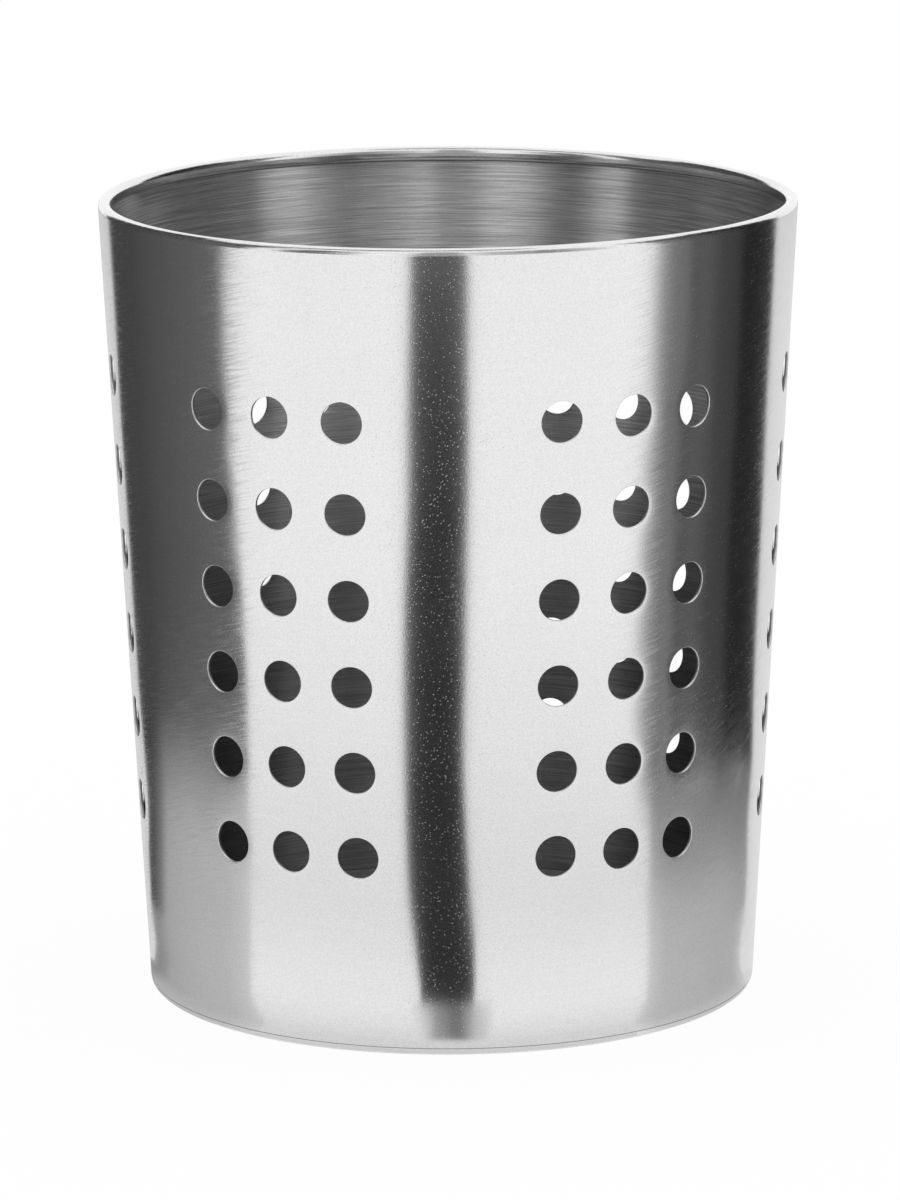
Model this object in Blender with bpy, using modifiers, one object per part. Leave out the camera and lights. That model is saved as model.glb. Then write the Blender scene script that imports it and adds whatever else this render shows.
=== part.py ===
"""Cutlery drainer: a tapered, perforated steel cup standing on a drain base.

Lengths are in metres and angles in degrees.  The axis of the cup is +Z, the
foot stands on z = 0, and the front of the cup faces -Y.
"""

import math

import bmesh
import bpy
from mathutils import Matrix
from mathutils import Vector

# Cup
MOUTH_DIAMETER = 0.118
FOOT_DIAMETER = 0.1036
HEIGHT = 0.136
SHEET = 0.0005

# Rim, rolled inward from the top edge of the wall
ROLL_WIDTH = 0.0022
ROLL_HEIGHT = 0.0026
ROLL_TURN = 285.0

# Foot, turned in under the base
FOOT_BEND = 0.0015
FOOT_LIP = 0.0045

# Base, a shallow pan seated in the foot
PAN_FIT = 0.0003
PAN_RIM = 0.0055

# Holes of the wall: groups of three columns, counted anticlockwise from the front
HOLE_DIAMETER = 0.007
GROUP_TURNS = (-92.7, -30.1, 31.7, 93.1, 147.2, 205.2)
COLUMN_TURN = 13.0
COLUMNS = 3
ROWS = 6
BOTTOM_ROW = 0.0338
ROW_PITCH = 0.01455
TOP_ROW_PITCH = 0.0153

# Holes of the base: rings round one centre hole
DRAIN_RING_PITCH = 0.0145
DRAIN_RING_COUNTS = (6, 12)

# Fineness of the turned and punched shapes
ROUND_STEPS = 72
ROLL_STEPS = 5
BEND_STEPS = 3
HOLE_STEPS = 14
WELD = 0.00001

# Derived shape of the wall
FRONT = -90.0
MOUTH_RADIUS = MOUTH_DIAMETER / 2
FOOT_RADIUS = FOOT_DIAMETER / 2
HOLE_RADIUS = HOLE_DIAMETER / 2
ROLL_RADIUS = ROLL_WIDTH / 2
SLOPE = (MOUTH_RADIUS - FOOT_RADIUS) / (HEIGHT - ROLL_RADIUS)
LEAN = math.atan(SLOPE)
LEAN_TURN = math.degrees(LEAN)


def wall_radius(height, inset=0.0):
    """Radius of the wall's outer face, or of a face lying inset behind it."""
    return FOOT_RADIUS + SLOPE * height - inset / math.cos(LEAN)


def arc(centre, radius, start, end, steps):
    """Points of an arc in the profile plane, as (radius, height) pairs."""
    points = []
    for step in range(steps + 1):
        angle = math.radians(start + (end - start) * step / steps)
        across = centre[0] + radius * math.cos(angle)
        up = centre[1] + radius * math.sin(angle)
        points.append((across, up))
    return points


def foot_bend(inset):
    """The tight bend at the foot, from the leaning wall to the flat."""
    centre = (wall_radius(FOOT_BEND, FOOT_BEND), FOOT_BEND)
    return arc(centre, FOOT_BEND - inset, -LEAN_TURN, -90.0, BEND_STEPS)


def wall_profile():
    """Outer face of the wall: rolled rim, leaning wall, foot bend and lip."""
    top_height = HEIGHT - ROLL_RADIUS
    end_height = HEIGHT - ROLL_HEIGHT + ROLL_RADIUS
    across = wall_radius(top_height, ROLL_RADIUS)
    roll_end = arc((across, end_height), ROLL_RADIUS, ROLL_TURN, 180.0, ROLL_STEPS // 2)
    roll_top = arc((across, top_height), ROLL_RADIUS, 180.0, -LEAN_TURN, ROLL_STEPS)
    bend = foot_bend(0.0)
    lip_end = (bend[-1][0] - FOOT_LIP, 0.0)
    return roll_end + roll_top + bend + [lip_end]


def pan_profile():
    """Lower face of the base: raised rim, bend and flat floor to the axis."""
    inset = SHEET + PAN_FIT
    rim_top = inset + PAN_RIM
    bend = foot_bend(inset)
    return [(wall_radius(rim_top, inset), rim_top)] + bend + [(0.0, inset)]


def new_collection(name, hidden=False):
    collection = bpy.data.collections.new(name)
    bpy.context.scene.collection.children.link(collection)
    collection.hide_render = hidden
    return collection


def steel(name, colour, roughness):
    material = bpy.data.materials.new(name)
    material.use_nodes = True
    shader = material.node_tree.nodes["Principled BSDF"]
    shader.inputs["Base Color"].default_value = (*colour, 1.0)
    shader.inputs["Metallic"].default_value = 1.0
    shader.inputs["Roughness"].default_value = roughness
    return material


def new_object(name, mesh, collection):
    thing = bpy.data.objects.new(name, mesh)
    collection.objects.link(thing)
    return thing


def turned_sheet(name, profile, material, collection):
    """Sheet of even thickness, turned about Z from its outer face."""
    mesh = bpy.data.meshes.new(name)
    points = [(across, 0.0, up) for across, up in profile]
    edges = [(index, index + 1) for index in range(len(points) - 1)]
    mesh.from_pydata(points, edges, [])
    mesh.materials.append(material)
    sheet = new_object(name, mesh, collection)

    turn = sheet.modifiers.new("Turn", "SCREW")
    turn.axis = "Z"
    turn.angle = math.tau
    turn.steps = ROUND_STEPS
    turn.render_steps = ROUND_STEPS
    turn.use_merge_vertices = True
    turn.merge_threshold = WELD
    turn.use_smooth_shade = True

    shell = sheet.modifiers.new("Sheet", "SOLIDIFY")
    shell.thickness = SHEET
    shell.offset = -1.0
    shell.use_even_offset = True
    return sheet


def punch_tool(name, frames, collection):
    """One tool holding a round punch for every frame, along the frame's Z."""
    mesh = bpy.data.meshes.new(name)
    shape = bmesh.new()
    for frame in frames:
        bmesh.ops.create_cone(
            shape,
            cap_ends=True,
            segments=HOLE_STEPS,
            radius1=HOLE_RADIUS,
            radius2=HOLE_RADIUS,
            depth=HOLE_DIAMETER,
            matrix=frame,
        )
    shape.to_mesh(mesh)
    shape.free()
    tool = new_object(name, mesh, collection)
    tool.display_type = "WIRE"
    tool.hide_render = True
    return tool


def punch(sheet, tool):
    cut = sheet.modifiers.new("Holes", "BOOLEAN")
    cut.operation = "DIFFERENCE"
    cut.solver = "EXACT"
    cut.object = tool


def row_heights():
    """Heights of the hole rows; the top row stands a little further off."""
    heights = [BOTTOM_ROW + ROW_PITCH * row for row in range(ROWS - 1)]
    return heights + [heights[-1] + TOP_ROW_PITCH]


def wall_hole_frames():
    """Frames on the wall, each with Z along the wall's outward normal."""
    frames = []
    square_on = Matrix.Rotation(math.radians(90.0) + LEAN, 4, "Y")
    for group in GROUP_TURNS:
        for column in range(COLUMNS):
            turn = FRONT + group + COLUMN_TURN * (column - (COLUMNS - 1) / 2)
            around = Matrix.Rotation(math.radians(turn), 4, "Z")
            for height in row_heights():
                place = Matrix.Translation(Vector((wall_radius(height), 0.0, height)))
                frames.append(around @ place @ square_on)
    return frames


def base_hole_frames():
    """Upright frames on the base: the centre hole and the rings round it."""
    frames = [Matrix.Translation(Vector((0.0, 0.0, SHEET)))]
    for ring, count in enumerate(DRAIN_RING_COUNTS, start=1):
        radius = DRAIN_RING_PITCH * ring
        for index in range(count):
            around = Matrix.Rotation(math.tau * index / count, 4, "Z")
            place = Matrix.Translation(Vector((radius, 0.0, SHEET)))
            frames.append(around @ place)
    return frames


def main():
    for thing in list(bpy.data.objects):
        bpy.data.objects.remove(thing, do_unlink=True)

    drainer = new_collection("cutlery_drainer")
    tools = new_collection("punch_tools", hidden=True)

    wall_steel = steel("brushed_wall_steel", (0.62, 0.62, 0.61), 0.25)
    base_steel = steel("satin_base_steel", (0.55, 0.55, 0.54), 0.35)

    wall = turned_sheet("wall", wall_profile(), wall_steel, drainer)
    punch(wall, punch_tool("wall_punches", wall_hole_frames(), tools))

    base = turned_sheet("base", pan_profile(), base_steel, drainer)
    punch(base, punch_tool("base_punches", base_hole_frames(), tools))


main()
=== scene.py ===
"""Cutlery drainer of brushed steel: a perforated cup on a drain base, in a white studio.

Lengths are in metres.  Turns are in degrees anticlockwise round +Z, seen from
above, from the front of the cup, which faces -Y.
"""

import math

import bmesh
import bpy
import numpy as np
from mathutils import Matrix
from mathutils import Vector


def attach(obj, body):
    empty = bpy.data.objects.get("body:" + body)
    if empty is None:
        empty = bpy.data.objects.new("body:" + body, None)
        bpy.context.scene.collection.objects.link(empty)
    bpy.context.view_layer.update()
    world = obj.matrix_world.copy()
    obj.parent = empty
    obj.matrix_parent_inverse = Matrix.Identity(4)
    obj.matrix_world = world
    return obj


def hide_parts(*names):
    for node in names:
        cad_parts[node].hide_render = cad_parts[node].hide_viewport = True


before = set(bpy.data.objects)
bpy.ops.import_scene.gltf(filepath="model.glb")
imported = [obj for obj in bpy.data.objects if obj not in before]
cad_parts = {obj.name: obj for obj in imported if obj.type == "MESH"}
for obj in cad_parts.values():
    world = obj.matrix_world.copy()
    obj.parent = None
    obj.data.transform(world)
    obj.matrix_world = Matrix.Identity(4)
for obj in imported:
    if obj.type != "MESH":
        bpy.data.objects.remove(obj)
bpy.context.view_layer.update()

MM = 0.001

# Turn of the cup's front from +X
FRONT = -90.0

# Cup, as the solids have it
MOUTH_RADIUS = 59.0 * MM
FOOT_RADIUS = 51.8 * MM
HEIGHT = 136.0 * MM
SHEET = 0.5 * MM
ROLL_RADIUS = 1.1 * MM
ROLL_HEIGHT = 2.6 * MM
ROLL_END = 285.0
FOOT_BEND = 1.5 * MM
FOOT_LIP = 4.5 * MM
SLOPE = (MOUTH_RADIUS - FOOT_RADIUS) / (HEIGHT - ROLL_RADIUS)
LEAN = math.atan(SLOPE)

# Fine crease near the top of the foot's bend: turn and width on the bend in degrees, and depth
CREASE_TURN = -8.0
CREASE_WIDTH = 4.0
CREASE_DEPTH = 0.02 * MM

# Steps of the roll with the outside's finish (the rest, under the roll, is painted shade), and
# steps at the top of the bend that don't, a darker line along the crease
ROLL_UNSHADED_STEPS = 17
SEAM_STEPS = 3

# Holes of the wall, in groups of columns
HOLE_RADIUS = 3.5 * MM
GROUP_TURNS = (-92.7, -30.1, 31.7, 93.1, 147.2, 205.2)
COLUMN_TURN = 13.0
COLUMNS = 3
ROWS = 6
BOTTOM_ROW = 33.8 * MM
ROW_PITCH = 14.55 * MM
TOP_ROW_PITCH = 15.3 * MM

# Lean of each group, in degrees of turn for each metre above the level
GROUP_SLANTS = (0.0, -14.0, -2.0, 0.0, 0.0, 0.0)
SLANT_LEVEL = 62.0 * MM

# Punched edge of a hole: rolled over outside, then a land whose raised tone is a painted highlight
# on its real glint, then broken steel
EDGE_OUTSIDE = 0.1 * MM
EDGE_LAND = 0.22 * MM
EDGE_INSIDE = 0.05 * MM

# Shallow dish round a hole, and how far from the edge the loops on the plain sheet lie
DISH_DEPTH = 0.04 * MM
DISH_REACH = 0.8 * MM
CLEAR_OUTSIDE = (1.5 * MM, 0.8 * MM, 0.4 * MM)
CLEAR_INSIDE = (0.4 * MM, 1.5 * MM)

# Base pan
PAN_FIT = 0.3 * MM
PAN_RIM = 5.5 * MM
DRAIN_RING_PITCH = 14.5 * MM
DRAIN_RING_COUNTS = (6, 12)
DRAIN_EDGE = 0.1 * MM
DRAIN_EDGE_STEPS = 2
DRAIN_EDGE_ANGLE = 50.0
DRAIN_SHARP_ANGLE = 35.0

# Finishes of the wall's faces, and those of a hole's loops from outside to inside
# The break finish is broken steel in the holes, painted shade under the roll, and a darker line
# along the foot's crease.
OUTSIDE, INSIDE, EDGE, BREAK_AND_SHADE = 0, 1, 2, 3
HOLE_FINISHES = (OUTSIDE,) * 4 + (EDGE,) * 4 + (BREAK_AND_SHADE,) * 3 + (INSIDE,) * 3

# Fineness of the meshes
CELL_STEPS = 10
GAP_STEP = 1.8
PLAIN_STEP = 2.4 * MM
ARC_STEP = 15.0
BEND_STEP = 10.0
CREASE_FROM = -24.0
CREASE_STEP = 1.75
PAN_STEPS = 180
PUNCH_STEPS = 48
WELD = 0.01 * MM

# Waviness of the rolled sheet: height of a wave, waves round the cup, length up the wall, phase
WAVES = (
    (0.016 * MM, 3, 140.0 * MM, 0.4),
    (0.010 * MM, 7, 90.0 * MM, 2.1),
    (0.007 * MM, 13, 60.0 * MM, 4.0),
    (0.005 * MM, 19, -45.0 * MM, 1.3),
    (0.003 * MM, 31, 37.0 * MM, 5.2),
)
WAVE_FADE = 4.0 * MM

# Unevenness of the mouth: rise of a wave, waves round the cup, turn of its crest
MOUTH_WAVES = ((0.34 * MM, 1, 5.0), (0.17 * MM, 2, 32.0))
MOUTH_WAVES_FROM = 115.0 * MM

# Lines brushed round the cup: two noises' scales across and up, and the range that shades
FINE_ACROSS, FINE_UP = 150.0, 9000.0
COARSE_ACROSS, COARSE_UP = 55.0, 2200.0
FINE_SHARE = 0.4
LINE_RANGE = (0.38, 0.62)
LINE_RISE = 0.003 * MM

# Slow change of the finish over the sheet
CLOUD_SCALE = (30.0, 30.0, 60.0)
CLOUD_RANGE = (0.3, 0.7)
CLOUD_SHADE = 0.015
CLOUD_ROUGHNESS = 0.01

# Fine grain
GRAIN_SCALE = 3600.0
GRAIN_RANGE = (0.3, 0.7)
GRAIN_SHADE = 0.055
GRAIN_RISE = 0.003 * MM

# Pits, more of them in patches and along some lines
PIT_SCALE = 2100.0
PIT_SIZE = (0.04, 0.19)
PIT_DEPTH = 0.008 * MM
PIT_ROUGHNESS = 0.42
PIT_PATCH_SCALE = 90.0
PIT_PATCHES = ((0.35, 0.65), (0.45, 1.2))
PIT_LINES = ((0.42, 0.58), (0.5, 1.5))

# Slanting strokes: scale along and across them, rise along the way round, and range that shows
STROKE_SCALE = (170.0, 3100.0, 1.0)
STROKE_SLANT = 0.25
STROKE_RANGE = (0.45, 0.72)
STROKE_RISE = 0.002 * MM
STROKE_ROUGHNESS = 0.11

# Distances from the middle plane between which the front's pits give way to the sides' strokes
FRONT_TO_SIDE = (14.0 * MM, 34.0 * MM)
SIDE_PITS = 0.35

# Colour of the lights and of the floor's glow
WHITE = (1.0, 1.0, 1.0, 1.0)

# Floor: size, tone, and shares of glow that the camera and the cup's reflections see of it
FLOOR_RADIUS = 6.0
FLOOR_STEPS = 96
FLOOR_TONE = 0.95
FLOOR_GLOW = 0.94
FLOOR_GLOW_REFLECTED = 0.5

# Studio cards round the cup, which only its reflections show.
# Rows, from near to far: radius in mm and turn of one side, radius and turn of the other, gain. On
# the benches the falling gain of the far rows is painted shade.
# Tones: share of the way across, tone before the gain.
# Steps: heights and gains up the part that stands at the far edge.
CARD_LEVEL = 0.2 * MM
CARDS = {
    "left_step": (
        (
            (51.5, -40, 51.5, -110, 1.15), (58.5, -42, 58.5, -97, 1),
            (67, -51, 67, -104, 1), (85, -58, 85, -120, 1),
        ),
        (
            (0, 0.64), (0.15, 0.53), (0.45, 0.48), (0.68, 0.42),
            (0.77, 0.34), (0.88, 0.27), (1, 0.4),
        ),
        (),
    ),
    "left_bench": (
        (
            (85, -58, 85, -120, 1), (115, -63, 115, -128, 1), (150, -66, 150, -130, 1),
            (174, -68, 172, -133, 0.7), (190, -69, 188, -135, 0.5), (207, -69, 207, -137, 0.36),
        ),
        (
            (0, 0.64), (0.15, 0.53), (0.45, 0.48), (0.68, 0.42),
            (0.77, 0.19), (0.88, 0.08), (1, 0.07),
        ),
        (),
    ),
    "left_card": (
        (
            (207, -68, 207, -138, 1), (325, -72, 340, -144, 1),
            (486, -78, 590, -145, 1), (1400, -65, 1400, -147, 1),
        ),
        ((0, 0.13), (0.45, 0.09), (0.7, 0.062), (1, 0.05)),
        ((1.65, 1),),
    ),
    "right_step": (
        (
            (51.5, 37, 51.5, 84, 1.35), (58.5, 41, 58.5, 86, 1),
            (67, 49, 67, 94, 1), (85, 56, 85, 109, 1),
        ),
        ((0, 0.64), (0.12, 0.53), (0.6, 0.47), (0.85, 0.47), (1, 0.62)),
        (),
    ),
    "right_bench": (
        (
            (85, 56, 85, 109, 1), (108, 60, 108, 118, 0.97), (123, 62, 123, 120, 0.78),
            (141, 65, 138, 122, 0.64), (160, 66, 156, 125, 0.52), (178, 62, 174, 127, 0.36),
        ),
        ((0, 0.64), (0.12, 0.53), (0.6, 0.47), (1, 0.36)),
        (),
    ),
    "right_card": (
        (
            (178, 60, 174, 128, 1), (225, 60, 235, 129, 1), (257, 61, 270, 130, 1),
            (335, 62.6, 350, 131, 1), (400, 64.5, 440, 132, 1), (545, 69, 625, 133, 1),
            (1400, 65, 1400, 134, 1),
        ),
        (
            (0, 0.80), (0.06, 0.30), (0.14, 0.15), (0.19, 0.20), (0.25, 0.08), (0.34, 0.11),
            (0.46, 0.06), (0.62, 0.05), (0.65, 0.018), (0.8, 0.02), (1, 0.04),
        ),
        ((1.65, 1),),
    ),
    "front_bench": (
        ((58.5, -8, 58.5, 8.4, 1), (75.5, -9.8, 75.5, 9.8, 1)),
        ((0, 0.85), (0.12, 0.76), (0.3, 0.36), (0.5, 0.2), (0.6, 0.2), (0.78, 0.55), (1, 0.82)),
        (),
    ),
    "front_card": (
        (
            (75.5, -7.6, 75.5, 5.4, 1), (84, -8, 84, 6, 1),
            (105, -10, 105, 6.2, 1), (125, -12, 125, 5, 1),
            (221, -15, 221, 4, 1), (400, -13, 400, 6, 1),
            (505, -12, 505, 6, 1.2), (545, -12, 545, 6, 3),
        ),
        ((0, 0.022), (1, 0.022)),
        (),
    ),
    "front_post": (
        ((545, -12, 545, 6, 0.3), (1400, -10, 1400, 5, 1)),
        ((0, 0.36), (1, 0.36)),
        ((2.4, 1),),
    ),
    "left_sky": (
        ((1380, -10, 1380, -69, 1), (1390, -10, 1390, -69, 1)),
        ((0, 0.6), (0.1, 1), (0.28, 1), (0.38, 0.6), (0.55, 0.2), (0.7, 0.1), (0.84, 1), (1, 1)),
        ((1.65, 1),),
    ),
    "right_sky": (
        ((1380, 5, 1380, 69, 1), (1390, 5, 1390, 69, 1)),
        ((0, 0.9), (0.12, 0.6), (0.45, 0.25), (0.65, 0.6), (0.8, 1), (1, 1)),
        ((1.65, 1),),
    ),
    "left_back": (
        (
            (58.5, -97, 58.5, -180, 1), (85, -120, 85, -180, 1), (207, -138, 207, -180, 1),
            (700, -146, 700, -180, 1), (1400, -147, 1400, -180, 0.6),
        ),
        ((0, 0.72), (1, 0.72)),
        (),
    ),
    "right_back": (
        (
            (58.5, 86, 58.5, 180, 1), (85, 109, 85, 180, 1), (174, 128, 174, 180, 1),
            (700, 133, 700, 180, 1), (1400, 134, 1400, 180, 0.6),
        ),
        ((0, 0.78), (1, 0.78)),
        (),
    ),
}

# Table top in front of the cup: its turns, and its tones at radii in mm, lower near the foot as a
# painted shadow of the cup
TABLE_TURNS = range(-95, 96, 10)
TABLE_TONES = (
    (51.5, 0.7), (58, 0.76), (64, 0.86), (72, 0.93), (80, 0.93),
    (100, 0.88), (125, 0.81), (165, 0.86), (220, 0.91), (290, 0.95),
)

# Grey gap between the lights overhead: from front to back, from left to right, height and tone
GAP_FRONT = -0.45
GAP_BACK = 0.22
GAP_LEFT = -2.0
GAP_RIGHT = 0.5
GAP_LEVEL = 2.1
GAP_TONE = 0.25

# Camera: long lens in front of the cup, looking down on it, with a slight roll in radians
LENS = 210.26
SENSOR_WIDTH = 36.0
CLIP_START = 0.05
EYE = (0.0, -1.17008, 0.31867)
EYE_DOWN = 12.178
EYE_ROLL = -0.00507


def wall_radius(height):
    """Radius of the wall's outer face."""
    return FOOT_RADIUS + SLOPE * height


def wave(turn, height):
    """How far the sheet stands off its true cone, along the outward normal."""
    total = 0.0
    for rise, count, length, phase in WAVES:
        total = total + rise * np.sin(count * turn + math.tau * height / length + phase)
    ends = np.clip(height / WAVE_FADE, 0.0, 1.0) * np.clip((HEIGHT - height) / WAVE_FADE, 0.0, 1.0)
    return total * ends * ends


def wave_slopes(turn, height):
    """Slopes of the wave round the cup and up the wall."""
    step = 0.01 * MM
    radius = wall_radius(height)
    across = wave(turn + step / radius, height) - wave(turn - step / radius, height)
    up = wave(turn, height + step) - wave(turn, height - step)
    return across / (2 * step), up / (2 * step)


def mouth_rise(turn, height):
    """How far the uneven mouth stands above its true level."""
    total = 0.0
    for rise, count, crest in MOUTH_WAVES:
        total = total + rise * np.cos(count * (turn - math.radians(crest + FRONT)))
    way = np.clip((height - MOUTH_WAVES_FROM) / (HEIGHT - MOUTH_WAVES_FROM), 0.0, 1.0)
    return total * way * way * (3.0 - 2.0 * way)


class Skin:
    """Vertices of the wall, with true normals, gathered in batches."""

    def __init__(self):
        self.points = []
        self.normals = []
        self.faces = []
        self.finishes = []
        self.count = 0

    def add(self, turn, radius, height, around, outward, upward):
        """Adds points in round coordinates with normals in the same; returns their numbers."""
        given = (turn, radius, height, around, outward, upward)
        shape = np.broadcast(*given).shape
        turn, radius, height, around, outward, upward = [
            np.broadcast_to(part, shape).ravel() for part in given
        ]
        cos, sin = np.cos(turn), np.sin(turn)
        level = height + mouth_rise(turn, height)
        self.points.append(np.stack([radius * cos, radius * sin, level], axis=1))
        across, ahead = outward * cos - around * sin, outward * sin + around * cos
        normal = np.stack([across, ahead, upward], axis=1)
        normal /= np.linalg.norm(normal, axis=1, keepdims=True)
        self.normals.append(normal)
        numbers = np.arange(self.count, self.count + turn.size).reshape(shape)
        self.count += turn.size
        return numbers

    def add_on_wall(self, turn, height, depth, across, up, out):
        """Adds points on the leaning, wavy wall, depth behind its outer face.

        The normal is given round the cup, up the slant and out of the sheet.
        """
        slope_across, slope_up = wave_slopes(turn, height)
        lift = wave(turn, height) - depth
        radius = wall_radius(height) + lift * math.cos(LEAN)
        level = height - lift * math.sin(LEAN)
        across = across - slope_across * out
        up = up - slope_up * out
        outward = up * math.sin(LEAN) + out * math.cos(LEAN)
        upward = up * math.cos(LEAN) - out * math.sin(LEAN)
        return self.add(turn, radius, level, across, outward, upward)

    def face(self, quads, finish):
        self.faces.append(quads)
        self.finishes.append(np.full(len(quads), finish, np.int32))

    def join(self, first, second, finish=OUTSIDE):
        """Faces between two loops or rows of points, which both run anticlockwise."""
        corners = [first, np.roll(first, -1), np.roll(second, -1), second]
        self.face(np.stack(corners, axis=1), finish)

    def mesh(self, name):
        points = np.concatenate(self.points)
        normals = np.concatenate(self.normals)
        faces = np.concatenate(self.faces)
        used = np.zeros(len(points), bool)
        used[faces] = True
        renumbered = np.cumsum(used) - 1
        mesh = bpy.data.meshes.new(name)
        mesh.from_pydata(points[used].tolist(), [], renumbered[faces].tolist())
        mesh.shade_smooth()
        mesh.normals_split_custom_set_from_vertices(normals[used].tolist())
        mesh.polygons.foreach_set("material_index", np.concatenate(self.finishes))
        return mesh


def row_heights():
    heights = [BOTTOM_ROW + ROW_PITCH * row for row in range(ROWS - 1)]
    return heights + [heights[-1] + TOP_ROW_PITCH]


def upright_lines():
    """Turns of the mesh's upright lines, and each hole column's first line, turn and slant."""
    lines, columns = [], []
    half = COLUMN_TURN * COLUMNS / 2
    next_groups = GROUP_TURNS[1:] + (GROUP_TURNS[0] + 360.0,)
    for group, following, slant in zip(GROUP_TURNS, next_groups, GROUP_SLANTS):
        for column in range(COLUMNS):
            start = group - half + COLUMN_TURN * column
            middle = math.radians(start + COLUMN_TURN / 2 + FRONT)
            columns.append((len(lines), middle, math.radians(slant)))
            lines += list(start + COLUMN_TURN * np.arange(CELL_STEPS) / CELL_STEPS)
        gap = following - group - 2 * half
        steps = round(gap / GAP_STEP)
        lines += list(group + half + gap * np.arange(steps) / steps)
    return np.radians(np.array(lines) + FRONT), columns


def level_lines():
    """Heights of the mesh's level lines on the wall, and the first line of each hole row."""
    rows = row_heights()
    edges = [rows[0] - ROW_PITCH / 2]
    edges += [(low + high) / 2 for low, high in zip(rows, rows[1:])]
    edges += [rows[-1] + TOP_ROW_PITCH / 2]
    foot = FOOT_BEND - FOOT_BEND * math.sin(LEAN)
    top = HEIGHT - ROLL_RADIUS - ROLL_RADIUS * math.sin(LEAN)
    below = np.linspace(foot, edges[0], round((edges[0] - foot) / PLAIN_STEP), endpoint=False)
    above = np.linspace(edges[-1], top, round((top - edges[-1]) / PLAIN_STEP))
    cells = [
        np.linspace(low, high, CELL_STEPS, endpoint=False)
        for low, high in zip(edges, edges[1:])
    ]
    starts = [len(below) + CELL_STEPS * row for row in range(ROWS)]
    return np.concatenate([below, *cells, above]), starts


def arc(centre, radius, start, end, facing=1.0):
    """Rows along an arc in the section: radius, height, outward normal and upward normal."""
    steps = max(2, math.ceil(abs(end - start) / ARC_STEP))
    angles = [math.radians(start + (end - start) * step / steps) for step in range(steps + 1)]
    return [
        (
            centre[0] + radius * math.cos(angle),
            centre[1] + radius * math.sin(angle),
            facing * math.cos(angle),
            facing * math.sin(angle),
        )
        for angle in angles
    ]


def folded_end(centre, middle, angle):
    """Rows over the sheet's cut end, where it leaves an arc at that angle."""
    turn = math.radians(angle)
    out = Vector((math.cos(turn), math.sin(turn)))
    ahead = Vector((-math.sin(turn), math.cos(turn)))
    rows = []
    for step in (45.0, 90.0, 135.0):
        facing = out * math.cos(math.radians(step)) + ahead * math.sin(math.radians(step))
        point = Vector(centre) + out * middle + facing * SHEET / 2
        rows.append((point.x, point.y, facing.x, facing.y))
    return rows


def roll_rows():
    """The rolled rim, from the top of the outer face to the top of the inner one."""
    lean = math.degrees(LEAN)
    top = HEIGHT - ROLL_RADIUS
    across = wall_radius(top) - ROLL_RADIUS / math.cos(LEAN)
    upper = (across, top)
    lower = (across, HEIGHT - ROLL_HEIGHT + ROLL_RADIUS)
    inside = ROLL_RADIUS - SHEET
    return (
        arc(upper, ROLL_RADIUS, -lean, 180.0)[1:]
        + arc(lower, ROLL_RADIUS, 180.0, ROLL_END)
        + folded_end(lower, ROLL_RADIUS - SHEET / 2, ROLL_END)
        + arc(lower, inside, ROLL_END, 180.0, facing=-1.0)
        + arc(upper, inside, 180.0, -lean, facing=-1.0)[:-1]
    )


def creased(centre, angle):
    """Row on the outside of the foot's bend, whose upper end has a fine crease pressed in."""
    turn = math.radians(angle)
    way = (angle - CREASE_TURN) / CREASE_WIDTH
    depth = CREASE_DEPTH * math.exp(-way * way)
    radius = FOOT_BEND - depth
    tilt = 2.0 * way * depth / (math.radians(CREASE_WIDTH) * radius)
    cos, sin = math.cos(turn), math.sin(turn)
    return centre[0] + radius * cos, centre[1] + radius * sin, cos + tilt * sin, sin - tilt * cos


def foot_rows():
    """The turned-in foot, from the bottom of the inner face to the bottom of the outer one."""
    lean = math.degrees(LEAN)
    centre = (wall_radius(FOOT_BEND) - FOOT_BEND / math.cos(LEAN), FOOT_BEND)
    lip = centre[0] - FOOT_LIP + SHEET / 2
    middle = (lip, SHEET / 2)
    bend = list(np.arange(-90.0, CREASE_FROM, BEND_STEP))
    bend += list(np.arange(CREASE_FROM, -lean, CREASE_STEP))
    return (
        arc(centre, FOOT_BEND - SHEET, -lean, -90.0, facing=-1.0)[1:]
        + arc(middle, SHEET / 2, 90.0, 270.0)
        + [creased(centre, angle) for angle in bend]
    )


def hole_loops(skin, turn, level):
    """Loops of one hole, from the plain sheet outside, through its edge, to that inside."""
    count = 4 * CELL_STEPS
    angle = np.radians(-135.0 + 360.0 * np.arange(count) / count)
    cos, sin = np.cos(angle), np.sin(angle)

    def loop(radius, depth, tilt, facing):
        """tilt is the normal's share towards the hole's axis, facing that out of the sheet."""
        dish = DISH_DEPTH * math.exp(-(radius - HOLE_RADIUS) / DISH_REACH)
        tilt = tilt + facing * dish / DISH_REACH
        height = level + radius * sin * math.cos(LEAN)
        around = turn + radius * cos / wall_radius(height)
        return skin.add_on_wall(around, height, depth + dish, -tilt * cos, -tilt * sin, facing)

    loops = []
    for clear in CLEAR_OUTSIDE:
        loops.append(loop(HOLE_RADIUS + EDGE_OUTSIDE + clear, 0.0, 0.0, 1.0))
    for step in (0.0, 30.0, 60.0, 90.0):
        tilt, facing = math.sin(math.radians(step)), math.cos(math.radians(step))
        radius = HOLE_RADIUS + EDGE_OUTSIDE * (1.0 - tilt)
        loops.append(loop(radius, EDGE_OUTSIDE * (1.0 - facing), tilt, facing))
    loops.append(loop(HOLE_RADIUS, EDGE_LAND, 1.0, 0.0))
    for step in (90.0, 45.0, 0.0):
        tilt, facing = math.sin(math.radians(step)), -math.cos(math.radians(step))
        radius = HOLE_RADIUS + EDGE_INSIDE * (1.0 - tilt)
        loops.append(loop(radius, SHEET - EDGE_INSIDE * (1.0 + facing), tilt, facing))
    for clear in CLEAR_INSIDE:
        loops.append(loop(HOLE_RADIUS + EDGE_INSIDE + clear, SHEET, 0.0, -1.0))
    return loops


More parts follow.
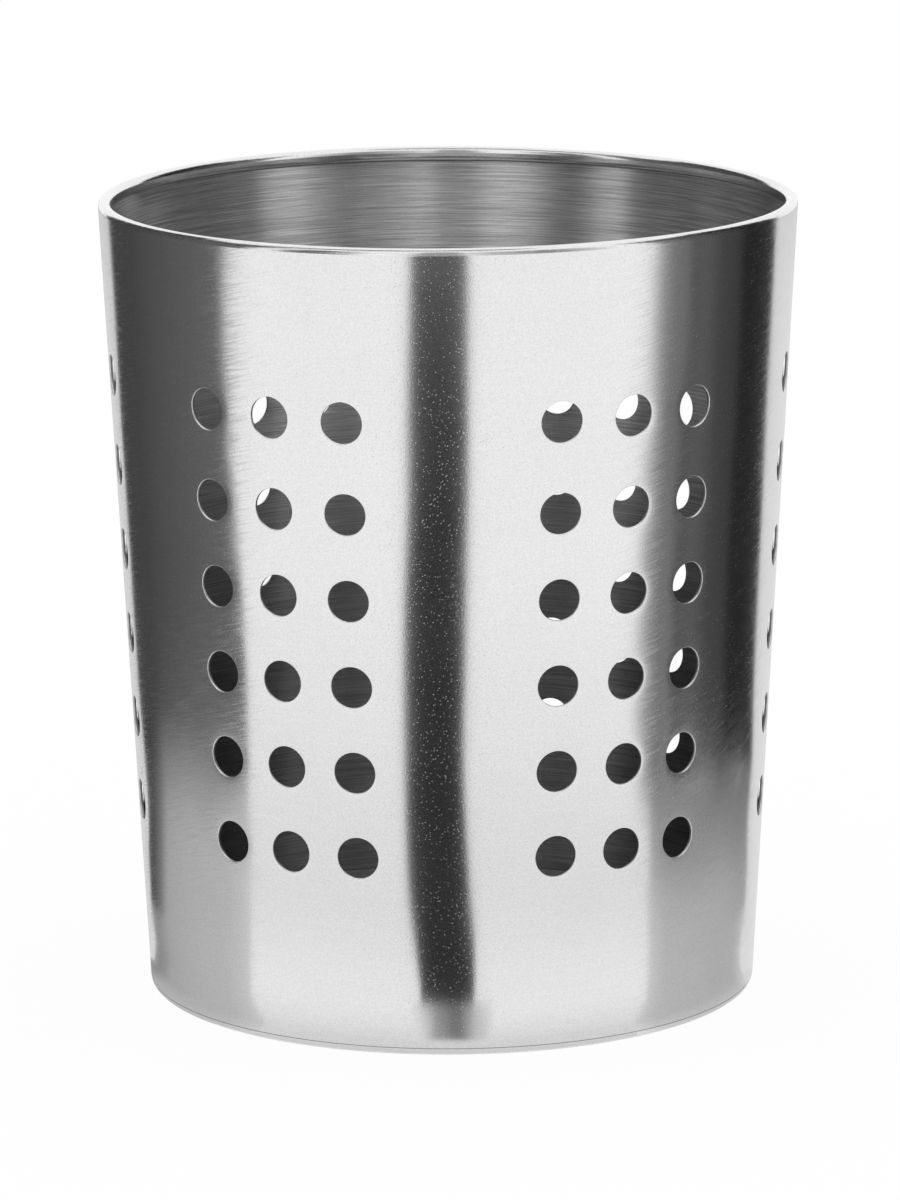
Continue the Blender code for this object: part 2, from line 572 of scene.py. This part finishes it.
def cell_edge(grid, first_row, first_line):
    """Numbers of the points round a hole's cell, anticlockwise from its lower left corner."""
    far_row, far_line = first_row + CELL_STEPS, first_line + CELL_STEPS
    steps = np.arange(CELL_STEPS)
    lines = grid.shape[1]
    bottom = grid[first_row, (first_line + steps) % lines]
    right = grid[first_row + steps, far_line % lines]
    top = grid[far_row, (far_line - steps) % lines]
    left = grid[far_row - steps, first_line]
    return np.concatenate([bottom, right, top, left])


def cup_wall():
    """The whole wall in one closed sheet: foot, holes and rolled rim."""
    skin = Skin()
    turns, columns = upright_lines()
    levels, rows = level_lines()
    turn_grid, level_grid = np.meshgrid(turns, levels)
    zero = np.zeros_like(turn_grid)
    outer = skin.add_on_wall(turn_grid, level_grid, 0.0, zero, zero, 1.0)
    inner = skin.add_on_wall(turn_grid, level_grid, SHEET, zero, zero, -1.0)

    def rings(section):
        return [skin.add(turns, *row[:2], 0.0, *row[2:]) for row in section]

    in_cell = np.zeros((len(levels) - 1, len(turns)), bool)
    for first_row in rows:
        for first_line, _, _ in columns:
            in_cell[first_row:first_row + CELL_STEPS, first_line:first_line + CELL_STEPS] = True

    def plain(grid, outward):
        across = np.roll(grid, -1, axis=1)
        quads = np.stack([grid[:-1], across[:-1], across[1:], grid[1:]], axis=2)
        quads = quads[~in_cell]
        skin.face(quads if outward else quads[:, ::-1], OUTSIDE if outward else INSIDE)

    plain(outer, True)
    plain(inner, False)
    loop = [outer[-1]] + rings(roll_rows()) + [inner[-1]]
    # Past these steps the roll's underside gets the dark break finish: painted shade under the
    # roll.
    for step, (first, second) in enumerate(zip(loop, loop[1:])):
        skin.join(first, second, OUTSIDE if step < ROLL_UNSHADED_STEPS else BREAK_AND_SHADE)
    loop = [inner[0]] + rings(foot_rows()) + [outer[0]]
    for first, second in zip(loop, loop[1:-SEAM_STEPS]):
        skin.join(first, second)
    # The top of the bend gets the dark break finish, a darker line along the crease.
    for first, second in zip(loop[-SEAM_STEPS - 1:], loop[-SEAM_STEPS:]):
        skin.join(first, second, BREAK_AND_SHADE)

    heights = row_heights()
    for first_row, level in zip(rows, heights):
        for first_line, turn, slant in columns:
            chain = [cell_edge(outer, first_row, first_line)]
            chain += hole_loops(skin, turn + slant * (level - SLANT_LEVEL), level)
            chain.append(cell_edge(inner, first_row, first_line))
            for first, second, finish in zip(chain, chain[1:], HOLE_FINISHES):
                skin.join(first, second, finish)
    return skin.mesh("cup_wall")


def pan_section():
    """Lower face of the base: raised rim, bend and flat floor to the axis."""
    inset = SHEET + PAN_FIT
    rim_top = inset + PAN_RIM
    centre = (wall_radius(FOOT_BEND) - FOOT_BEND / math.cos(LEAN), FOOT_BEND)
    bend = [row[:2] for row in arc(centre, FOOT_BEND - inset, -math.degrees(LEAN), -90.0)]
    rim = (wall_radius(rim_top) - inset / math.cos(LEAN), rim_top)
    return [rim] + bend + [(0.0, inset)]


def drain_base():
    """The perforated pan, turned, punched and with its cut edges broken."""
    mesh = bpy.data.meshes.new("drain_base")
    section = pan_section()
    points = [(across, 0.0, up) for across, up in section]
    mesh.from_pydata(points, [(i, i + 1) for i in range(len(points) - 1)], [])
    pan = bpy.data.objects.new("drain_base", mesh)
    bpy.context.scene.collection.objects.link(pan)

    turn = pan.modifiers.new("Turn", "SCREW")
    turn.axis = "Z"
    turn.steps = PAN_STEPS
    turn.render_steps = PAN_STEPS
    turn.use_merge_vertices = True
    turn.merge_threshold = WELD
    shell = pan.modifiers.new("Sheet", "SOLIDIFY")
    shell.thickness = SHEET
    shell.offset = -1.0
    shell.use_even_offset = True

    tool_mesh = bpy.data.meshes.new("drain_punches")
    shape = bmesh.new()
    places = [(0.0, 0.0)]
    for ring, count in enumerate(DRAIN_RING_COUNTS, start=1):
        places += [(DRAIN_RING_PITCH * ring, math.tau * index / count) for index in range(count)]
    for across, turned in places:
        spot = Matrix.Rotation(turned, 4, "Z") @ Matrix.Translation((across, 0.0, SHEET))
        bmesh.ops.create_cone(
            shape, cap_ends=True, segments=PUNCH_STEPS, radius1=HOLE_RADIUS,
            radius2=HOLE_RADIUS, depth=2 * HOLE_RADIUS, matrix=spot,
        )
    shape.to_mesh(tool_mesh)
    shape.free()
    tool = bpy.data.objects.new("drain_punches", tool_mesh)
    bpy.context.scene.collection.objects.link(tool)
    cut = pan.modifiers.new("Holes", "BOOLEAN")
    cut.operation = "DIFFERENCE"
    cut.solver = "EXACT"
    cut.object = tool
    edge = pan.modifiers.new("Edges", "BEVEL")
    edge.width = DRAIN_EDGE
    edge.segments = DRAIN_EDGE_STEPS
    edge.limit_method = "ANGLE"
    edge.angle_limit = math.radians(DRAIN_EDGE_ANGLE)

    depsgraph = bpy.context.evaluated_depsgraph_get()
    done = bpy.data.meshes.new_from_object(pan.evaluated_get(depsgraph))
    done.name = "drain_base"
    pan.modifiers.clear()
    pan.data = done
    bpy.data.objects.remove(tool)
    done.shade_smooth()
    done.set_sharp_from_angle(angle=math.radians(DRAIN_SHARP_ANGLE))
    return pan


class Nodes:
    """Short way to lay out a material's nodes."""

    def __init__(self, owner):
        owner.use_nodes = True
        self.tree = owner.node_tree
        self.tree.nodes.clear()

    def add(self, kind, links=(), **settings):
        """Adds a node; links is a list of (input, value or output socket)."""
        node = self.tree.nodes.new(kind)
        for name, value in settings.items():
            setattr(node, name, value)
        for key, value in links:
            if isinstance(value, bpy.types.NodeSocket):
                self.tree.links.new(value, node.inputs[key])
            else:
                node.inputs[key].default_value = value
        return node

    def math(self, operation, *values):
        return self.add("ShaderNodeMath", list(enumerate(values)), operation=operation).outputs[0]

    def remap(self, value, low, high, new_low, new_high, smooth=False):
        node = self.add(
            "ShaderNodeMapRange",
            [
                ("Value", value), ("From Min", low), ("From Max", high),
                ("To Min", new_low), ("To Max", new_high),
            ],
            interpolation_type="SMOOTHSTEP" if smooth else "LINEAR",
        )
        return node.outputs["Result"]

    def vary(self, value, limits, spread):
        """Factor that varies by the spread round 1, while the value goes between its limits."""
        return self.remap(value, *limits, 1.0 - spread, 1.0 + spread)

    def noise(self, vector, scale, detail=2.0, roughness=0.5):
        node = self.add(
            "ShaderNodeTexNoise",
            [("Vector", vector), ("Scale", scale), ("Detail", detail), ("Roughness", roughness)],
        )
        return node.outputs["Fac"]

    def stretched(self, vector, scale):
        node = self.add("ShaderNodeMapping", [("Vector", vector), ("Scale", scale)])
        return node.outputs["Vector"]


def pitting(nodes, place, lines, side):
    """How deep a point lies in one of the steel's pits, which are fewer at its sides."""
    spots = nodes.add("ShaderNodeTexVoronoi", [("Vector", place), ("Scale", PIT_SCALE)])
    pits = nodes.remap(spots.outputs["Distance"], *PIT_SIZE, 1.0, 0.0, smooth=True)
    limits, shares = PIT_PATCHES
    patch = nodes.remap(nodes.noise(place, PIT_PATCH_SCALE, 2.0, 0.6), *limits, *shares)
    limits, shares = PIT_LINES
    patch = nodes.math("MULTIPLY", patch, nodes.remap(lines, *limits, *shares))
    fewer = nodes.math("MULTIPLY_ADD", side, SIDE_PITS - 1.0, 1.0)
    patch = nodes.math("MULTIPLY", patch, fewer)
    return nodes.math("MULTIPLY", pits, patch)


def stroking(nodes, along, side):
    """How far a point lies in one of the slanting strokes on the steel's sides."""
    turn = nodes.math("ARCTAN2", along["X"], nodes.math("MULTIPLY", along["Y"], -1.0))
    around = nodes.math("MULTIPLY", turn, MOUTH_RADIUS)
    rising = nodes.math("MULTIPLY_ADD", around, -STROKE_SLANT, along["Z"])
    drawn = nodes.add("ShaderNodeCombineXYZ", [("X", around), ("Y", rising)]).outputs["Vector"]
    strokes = nodes.noise(nodes.stretched(drawn, STROKE_SCALE), 1.0, 2.0, 0.6)
    return nodes.math("MULTIPLY", nodes.remap(strokes, *STROKE_RANGE, 0.0, 1.0), side)


def brushed_steel(
    name, tone, roughness, anisotropy=0.5,
    streak=0.0, fineness=1.0, relief=1.0, worn=False, painted_shade=None,
):
    """Steel brushed round the axis: level lines, fine grain, and a finish that varies a little.

    streak is how much the lines shade it, fineness how close they lie, and
    relief scales lines and grain.  Worn steel has pits and slanting strokes.
    painted_shade gives a lower tone and the heights between which the steel falls to it: shade
    painted deep in the cup.
    """
    material = bpy.data.materials.new(name)
    nodes = Nodes(material)
    place = nodes.add("ShaderNodeTexCoord").outputs["Object"]
    along = nodes.add("ShaderNodeSeparateXYZ", [("Vector", place)]).outputs

    fine_scale = (FINE_ACROSS, FINE_ACROSS, FINE_UP * fineness)
    coarse_scale = (COARSE_ACROSS, COARSE_ACROSS, COARSE_UP * fineness)
    fine = nodes.noise(nodes.stretched(place, fine_scale), 1.0, 3.0, 0.6)
    coarse = nodes.noise(nodes.stretched(place, coarse_scale), 1.0, 3.0, 0.65)
    coarse = nodes.math("MULTIPLY", coarse, 1.0 - FINE_SHARE)
    lines = nodes.math("MULTIPLY_ADD", fine, FINE_SHARE, coarse)
    cloud = nodes.noise(nodes.stretched(place, CLOUD_SCALE), 1.0, 2.0, 0.5)
    grain = nodes.noise(place, GRAIN_SCALE, 1.0, 0.5)

    shade = nodes.vary(lines, LINE_RANGE, streak)
    shade = nodes.math("MULTIPLY", shade, nodes.vary(cloud, CLOUD_RANGE, CLOUD_SHADE))
    shade = nodes.math("MULTIPLY", shade, nodes.vary(grain, GRAIN_RANGE, GRAIN_SHADE * relief))
    # Painted shade: the colour darkens towards the bottom of the cup's inside.
    if painted_shade:
        shaded_tone, low, high = painted_shade
        level = nodes.remap(along["Z"], low, high, shaded_tone, tone, smooth=True)
        shade = nodes.math("MULTIPLY", shade, level)
    else:
        shade = nodes.math("MULTIPLY", shade, tone)
    channels = [(channel, shade) for channel in ("Red", "Green", "Blue")]
    colour = nodes.add("ShaderNodeCombineColor", channels).outputs["Color"]

    rough = nodes.remap(cloud, *CLOUD_RANGE, -CLOUD_ROUGHNESS, CLOUD_ROUGHNESS)
    rough = nodes.math("ADD", rough, roughness)
    height = nodes.math("MULTIPLY", lines, LINE_RISE * relief)
    height = nodes.math("MULTIPLY_ADD", grain, GRAIN_RISE * relief, height)
    if worn:
        aside = nodes.math("ABSOLUTE", along["X"])
        side = nodes.remap(aside, *FRONT_TO_SIDE, 0.0, 1.0, smooth=True)
        pits = pitting(nodes, place, lines, side)
        rough = nodes.math("MULTIPLY_ADD", pits, PIT_ROUGHNESS, rough)
        height = nodes.math("MULTIPLY_ADD", pits, -PIT_DEPTH, height)
        strokes = stroking(nodes, along, side)
        rough = nodes.math("MULTIPLY_ADD", strokes, STROKE_ROUGHNESS, rough)
        height = nodes.math("MULTIPLY_ADD", strokes, STROKE_RISE, height)
    bump = nodes.add("ShaderNodeBump", [("Strength", 1.0), ("Distance", 1.0), ("Height", height)])
    tangent = nodes.add("ShaderNodeTangent", direction_type="RADIAL", axis="Z")
    shader = nodes.add(
        "ShaderNodeBsdfPrincipled",
        [
            ("Base Color", colour), ("Metallic", 1.0), ("Roughness", rough),
            ("Normal", bump.outputs["Normal"]), ("Tangent", tangent.outputs["Tangent"]),
            ("Anisotropic", anisotropy), ("Anisotropic Rotation", 0.25),
        ],
    )
    nodes.add("ShaderNodeOutputMaterial", [("Surface", shader.outputs["BSDF"])])
    return material


def white_world():
    world = bpy.data.worlds.new("white_studio")
    bpy.context.scene.world = world
    nodes = Nodes(world)
    light = nodes.add("ShaderNodeBackground", [("Color", WHITE), ("Strength", 1.0)])
    nodes.add("ShaderNodeOutputWorld", [("Surface", light.outputs["Background"])])


def floor():
    """White floor that keeps a faint shadow of the cup."""
    mesh = bpy.data.meshes.new("floor")
    shape = bmesh.new()
    bmesh.ops.create_circle(shape, cap_ends=True, segments=FLOOR_STEPS, radius=FLOOR_RADIUS)
    shape.to_mesh(mesh)
    shape.free()
    ground = bpy.data.objects.new("floor", mesh)
    bpy.context.scene.collection.objects.link(ground)
    material = bpy.data.materials.new("floor_white")
    nodes = Nodes(material)
    colour = (FLOOR_TONE, FLOOR_TONE, FLOOR_TONE, 1.0)
    matt = nodes.add("ShaderNodeBsdfDiffuse", [("Color", colour)]).outputs[0]
    glow = nodes.add("ShaderNodeEmission", [("Color", WHITE), ("Strength", 1.0)]).outputs[0]
    path = nodes.add("ShaderNodeLightPath").outputs
    seen = nodes.math("MAXIMUM", path["Is Camera Ray"], path["Is Transmission Ray"])
    share = nodes.math("MULTIPLY", seen, FLOOR_GLOW)
    share = nodes.math("MULTIPLY_ADD", path["Is Glossy Ray"], FLOOR_GLOW_REFLECTED, share)
    mix = nodes.add("ShaderNodeMixShader", [(0, share), (1, matt), (2, glow)])
    nodes.add("ShaderNodeOutputMaterial", [("Surface", mix.outputs[0])])
    mesh.materials.append(material)


def card_material():
    material = bpy.data.materials.new("studio_card")
    nodes = Nodes(material)
    tone = nodes.add("ShaderNodeAttribute", attribute_name="tone").outputs["Fac"]
    glow = nodes.add("ShaderNodeEmission", [("Color", WHITE), ("Strength", tone)])
    nodes.add("ShaderNodeOutputMaterial", [("Surface", glow.outputs[0])])
    return material


def card(name, points, tones, faces, material):
    """Studio card that only reflections see."""
    mesh = bpy.data.meshes.new(name)
    mesh.from_pydata(points, [], faces)
    mesh.attributes.new("tone", "FLOAT", "POINT").data.foreach_set("value", tones)
    mesh.materials.append(material)
    thing = bpy.data.objects.new(name, mesh)
    bpy.context.scene.collection.objects.link(thing)
    thing.visible_camera = False
    thing.visible_diffuse = False
    thing.visible_transmission = False
    thing.visible_shadow = False
    thing.visible_volume_scatter = False


def strips(points, across):
    """Faces between the rows of a list of points that has that many to a row."""
    return [
        (start + i, start + i + 1, start + across + i + 1, start + across + i)
        for start in range(0, len(points) - across, across)
        for i in range(across - 1)
    ]


def ground_card(name, rows, tones, steps, material):
    """Card that lies just over the floor, and may stand up at its far edge."""
    points, values = [], []
    for near, first, far, last, gain in rows:
        for share, tone in tones:
            radius = (near + (far - near) * share) * MM
            angle = math.radians(first + (last - first) * share + FRONT)
            points.append((radius * math.cos(angle), radius * math.sin(angle), CARD_LEVEL))
            values.append(tone * gain)
    across = len(tones)
    edge = points[-across:]
    for height, gain in steps:
        points += [(x, y, height) for x, y, _ in edge]
        values += [tone * gain for _, tone in tones]
    card(name, points, values, strips(points, across), material)


def table_top(material):
    """Card on the floor in front of the cup, in rows at the radii of its tones."""
    turns = [math.radians(turn) for turn in TABLE_TURNS]
    points = [
        (radius * MM * math.sin(turn), -radius * MM * math.cos(turn), CARD_LEVEL / 2)
        for radius, _ in TABLE_TONES for turn in turns
    ]
    tones = [tone for _, tone in TABLE_TONES for _ in turns]
    card("table_top", points, tones, strips(points, len(turns)), material)


def studio_cards():
    material = card_material()
    for name, (rows, tones, steps) in CARDS.items():
        ground_card(name, rows, tones, steps, material)
    table_top(material)
    front = [(GAP_LEFT, GAP_FRONT, GAP_LEVEL), (GAP_RIGHT, GAP_FRONT, GAP_LEVEL)]
    back = [(GAP_RIGHT, GAP_BACK, GAP_LEVEL), (GAP_LEFT, GAP_BACK, GAP_LEVEL)]
    card("overhead_gap", front + back, [GAP_TONE] * 4, [(0, 1, 2, 3)], material)


def camera():
    data = bpy.data.cameras.new("camera")
    data.sensor_width = SENSOR_WIDTH
    data.lens = LENS
    data.clip_start = CLIP_START
    eye = bpy.data.objects.new("camera", data)
    bpy.context.scene.collection.objects.link(eye)
    pitch = Matrix.Rotation(math.radians(90.0 - EYE_DOWN), 4, "X")
    turned = pitch @ Matrix.Rotation(EYE_ROLL, 4, "Z")
    eye.matrix_world = Matrix.Translation(EYE) @ turned
    bpy.context.scene.camera = eye


def dress(thing, node, slot, *materials):
    for material in materials:
        thing.data.materials.append(material)
    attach(thing, "root")
    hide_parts(node)


def main():
    wall = bpy.data.objects.new("cup_wall", cup_wall())
    bpy.context.scene.collection.objects.link(wall)
    outside = brushed_steel(
        "wall_steel_outside", tone=0.84, roughness=0.15, streak=0.015, fineness=1.6, worn=True,
    )
    # The inside is the outside's steel at a lower tone, painted shade of the cup's inside, and
    # darker still lower down.
    inside = brushed_steel(
        "wall_steel_inside_painted_shade", tone=0.74, roughness=0.32, anisotropy=1.0, streak=0.38, fineness=2.0,
        painted_shade=(0.36, 50.0 * MM, 104.0 * MM),
    )
    # The land's tone is above the steel's own: a painted highlight along the holes' edges.
    edges = brushed_steel(
        "wall_steel_edges_painted_highlight", tone=0.95, roughness=0.35, anisotropy=0.0, relief=0.0,
    )
    # Dark finish: broken steel in the holes, painted shade under the roll, and a darker line along
    # the foot's crease.
    breaks_and_shade = brushed_steel(
        "wall_steel_breaks_and_painted_shade", tone=0.32, roughness=0.5, anisotropy=0.0, relief=0.0,
    )
    dress(wall, "wall", "wall_steel", outside, inside, edges, breaks_and_shade)
    satin = brushed_steel("base_steel_satin", tone=0.55, roughness=0.3, streak=0.05)
    dress(drain_base(), "base", "base_steel", satin)

    white_world()
    floor()
    studio_cards()
    camera()
    bpy.context.scene.view_settings.view_transform = "Standard"


main()
